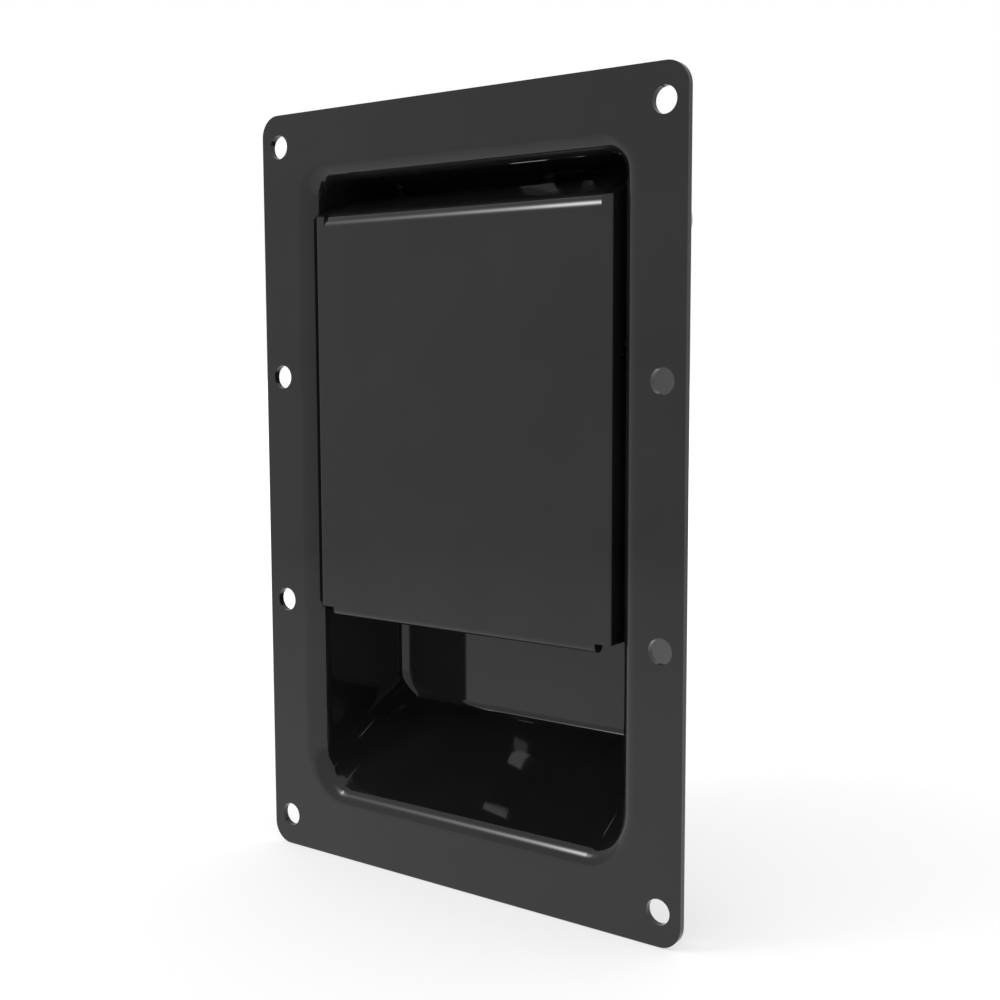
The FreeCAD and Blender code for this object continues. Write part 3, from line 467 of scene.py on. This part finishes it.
def surface_piece(name: str, points: np.ndarray, flip: bool = False) -> bpy.types.Object:
    """Makes a closed smooth mesh from rings of points.

    Each ring joins the next one, each point the next on its ring, and both ends close on
    their ring's middle.

    Args:
        name: the piece's name.
        points: array of rings by points by x, y and z, in metres.
        flip: turns every face round.

    Returns:
        The linked object.
    """
    rings, around, _ = points.shape
    index = np.arange(rings * around).reshape(rings, around)
    turned = np.roll(index, -1, axis=1)
    quads = np.stack([index[:-1], index[1:], turned[1:], turned[:-1]], axis=-1).reshape(-1, 4)
    ends = []
    middles = []
    for ring, order in ((0, 1), (rings - 1, -1)):
        middle = rings * around + len(middles)
        middles.append(points[ring].mean(axis=0))
        tip = np.stack([np.full(around, middle), index[ring], turned[ring]], axis=-1)
        ends.append(tip[:, ::order])
    faces = [tuple(face) for face in quads[:, ::-1 if flip else 1].tolist()]
    faces += [tuple(face) for face in np.concatenate(ends)[:, ::-1 if flip else 1].tolist()]
    mesh = bpy.data.meshes.new(name)
    mesh.from_pydata(np.concatenate([points.reshape(-1, 3), np.array(middles)]).tolist(), [], faces)
    mesh.polygons.foreach_set("use_smooth", np.ones(len(mesh.polygons), dtype=bool))
    mesh.update()
    made = bpy.data.objects.new(name, mesh)
    bpy.context.scene.collection.objects.link(made)
    return made


def flat_panel(name: str, wide: float, long: float, height: float,
               material: bpy.types.Material) -> bpy.types.Object:
    """Makes a level rectangle.

    Args:
        name: the object's name.
        wide: half of its size along X.
        long: half of its size along Y.
        height: its Z.
        material: its material.

    Returns:
        The linked object.
    """
    corners = [(-wide, -long, height), (wide, -long, height), (wide, long, height), (-wide, long, height)]
    mesh = bpy.data.meshes.new(name)
    mesh.from_pydata(corners, [], [(0, 1, 2, 3)])
    mesh.materials.append(material)
    plane = bpy.data.objects.new(name, mesh)
    bpy.context.scene.collection.objects.link(plane)
    return plane


@dataclass(frozen=True)
class Softbox:
    """A studio lamp with soft edges: a glowing card, unseen by the camera, brightest in its middle.

    Its glow at a point is the product of two profiles, one of the share of the half width and
    one of the share of the half length that the point lies from the middle.
    """

    place: Triple = (-0.62, -0.7505, 0.778)
    along: Triple = (0.0, 0.723, 0.691)
    half_width: float = 0.70
    half_length: float = 0.40
    radiance: float = 15.4
    across_stops: Stops = (
        (0.0, 1.0), (0.054, 0.83), (0.091, 0.578), (0.126, 0.432), (0.179, 0.312), (0.229, 0.214),
        (0.307, 0.14), (0.407, 0.079), (0.6, 0.042), (0.86, 0.015), (1.0, 0.0))
    along_stops: Stops = (
        (0.0, 1.0), (0.171, 0.83), (0.2625, 0.66), (0.375, 0.45), (0.5, 0.27), (0.5625, 0.16),
        (0.75, 0.05), (1.0, 0.0))

    def light(self) -> None:
        """Hangs the card so that it faces the latch, its length close to the direction along."""
        card = flat_panel("key", self.half_width, self.half_length, 0.0, self._glow())
        back = Vector(self.place).normalized()
        sideways = Vector(self.along).cross(back).normalized()
        turn = Matrix((sideways, back.cross(sideways), back)).transposed()
        card.matrix_world = Matrix.Translation(self.place) @ turn.to_4x4()
        card.visible_camera = False

    def _glow(self) -> bpy.types.Material:
        """The card's glow, added to what lies behind it."""
        sheet = NodeSheet("key_glow")
        across = self._profile(sheet, "X", self.half_width, self.across_stops)
        along = self._profile(sheet, "Y", self.half_length, self.along_stops)
        glow = sheet.node("ShaderNodeEmission", {},
                          {"Color": across * along, "Strength": self.radiance})
        clear = sheet.node("ShaderNodeBsdfTransparent", {}, {})
        return sheet.close(sheet.node("ShaderNodeAddShader", {}, {0: glow, 1: clear}))

    @staticmethod
    def _profile(sheet: NodeSheet, axis: str, half: float, stops: Stops) -> Signal:
        """The glow along one axis of the card.

        Args:
            sheet: the card's material.
            axis: the axis' letter.
            half: half of the card's size along it.
            stops: the glow at shares of that half.

        Returns:
            The glow, 1 in the middle and 0 at the edge.
        """
        away = sheet.node("ShaderNodeSeparateXYZ", {}, {0: sheet.place()}, axis).unsigned()
        return sheet.node("ShaderNodeValToRGB", {"stops": stops}, {0: away * (1.0 / half)})


@dataclass(frozen=True)
class Studio:
    """A white room: floor, surround and one soft lamp, high at the front left."""

    floor_height: float = -0.1145
    floor_half: float = 6.0
    seen_tone: float = 1.3
    matt_tone: float = 0.9
    far_tone: float = 0.68
    # Glow of the floor in mirrors next to the latch: painted reflection light.
    painted_reflection_near_glow: float = 0.94
    near_reach: float = 0.2
    far_reach: float = 0.75
    fill: float = 0.9
    shade: float = 0.6

    def build(self) -> None:
        """Lays the floor, sets the surround and hangs the lamp."""
        self._lay_floor()
        self._set_surround()
        Softbox().light()

    def _lay_floor(self) -> None:
        """A wide white plane; the eye sees it shaded near the latch, a mirror sees only its painted
        reflection glow, brighter near the latch.
        """
        sheet = NodeSheet("white_floor")
        reach = sheet.node("ShaderNodeVectorMath", {"operation": "LENGTH"}, {0: sheet.place()}, "Value")
        away = reach.squeezed(self.near_reach, self.far_reach)
        matt = sheet.node("ShaderNodeBsdfDiffuse", {}, {"Color": (*(self.matt_tone,) * 3, 1.0)})
        bright, near, far = (sheet.node("ShaderNodeEmission", {}, {"Color": WHITE, "Strength": tone})
                             for tone in (self.seen_tone, self.painted_reflection_near_glow, self.far_tone))
        share = 1.0 - self.shade * (1.0 - away)
        seen = sheet.node("ShaderNodeMixShader", {}, {0: share, 1: matt, 2: bright})
        # Painted reflection: in mirrors the floor is a glow rather than lit paint, brighter near the latch
        # than far off.
        painted_reflection_glow = sheet.node("ShaderNodeMixShader", {}, {0: away, 1: near, 2: far})
        glossy = sheet.node("ShaderNodeLightPath", {}, {}, "Is Glossy Ray")
        white = sheet.close(sheet.node("ShaderNodeMixShader", {}, {0: glossy, 1: seen, 2: painted_reflection_glow}))
        floor = flat_panel("floor", self.floor_half, self.floor_half, self.floor_height, white)

    def _set_surround(self) -> None:
        """A white surround for the eye, a slightly darker one for mirrors, and the fill for the rest."""
        world = bpy.data.worlds.new("surround")
        bpy.context.scene.world = world
        world.use_nodes = True
        nodes, links = world.node_tree.nodes, world.node_tree.links
        nodes.clear()
        path = nodes.new("ShaderNodeLightPath")
        tones = []
        for strength in (self.fill, self.far_tone, 1.0):
            tone = nodes.new("ShaderNodeBackground")
            tone.inputs["Color"].default_value = WHITE
            tone.inputs["Strength"].default_value = strength
            tones.append(tone)
        glossy = nodes.new("ShaderNodeMixShader")
        camera = nodes.new("ShaderNodeMixShader")
        links.new(path.outputs["Is Glossy Ray"], glossy.inputs[0])
        links.new(tones[0].outputs[0], glossy.inputs[1])
        links.new(tones[1].outputs[0], glossy.inputs[2])
        links.new(path.outputs["Is Camera Ray"], camera.inputs[0])
        links.new(glossy.outputs[0], camera.inputs[1])
        links.new(tones[2].outputs[0], camera.inputs[2])
        output = nodes.new("ShaderNodeOutputWorld")
        links.new(camera.outputs[0], output.inputs["Surface"])


@dataclass(frozen=True)
class Viewpoint:
    """The camera, at the photograph's place and angle."""

    place: Triple = (0.249184, -0.314722, 0.042280)
    yaw: float = 0.6401349
    pitch: float = 0.1040867
    roll: float = -0.0032589
    focal_px: float = 1411.86
    image_px: float = 1000.0
    sensor_mm: float = 36.0
    near_clip: float = 0.01

    def set_up(self) -> None:
        """Adds the camera and makes it the scene's own."""
        lens = bpy.data.cameras.new("camera")
        lens.sensor_fit = "HORIZONTAL"
        lens.sensor_width = self.sensor_mm
        lens.lens = self.focal_px / self.image_px * self.sensor_mm
        lens.clip_start = self.near_clip
        camera = bpy.data.objects.new("camera", lens)
        bpy.context.scene.collection.objects.link(camera)
        turn = (Matrix.Rotation(self.yaw, 4, "Z") @ Matrix.Rotation(math.pi / 2 - self.pitch, 4, "X")
                @ Matrix.Rotation(self.roll, 4, "Z"))
        camera.matrix_world = Matrix.Translation(self.place) @ turn
        bpy.context.scene.camera = camera


def main() -> None:
    """Dresses the latch and sets the studio and the camera."""
    logging.basicConfig(level=logging.INFO, format="%(name)s: %(message)s")
    bpy.context.scene.view_settings.view_transform = "Standard"
    finishes = make_finishes()
    paddle = PaddleAssembly()
    for group in (PanAssembly(), paddle, RodLeverAssembly(), DriveRoller()):
        group.dress(finishes)
    paddle.weld(finishes)
    Studio().build()
    Viewpoint().set_up()


if __name__ == "__main__":
    main()
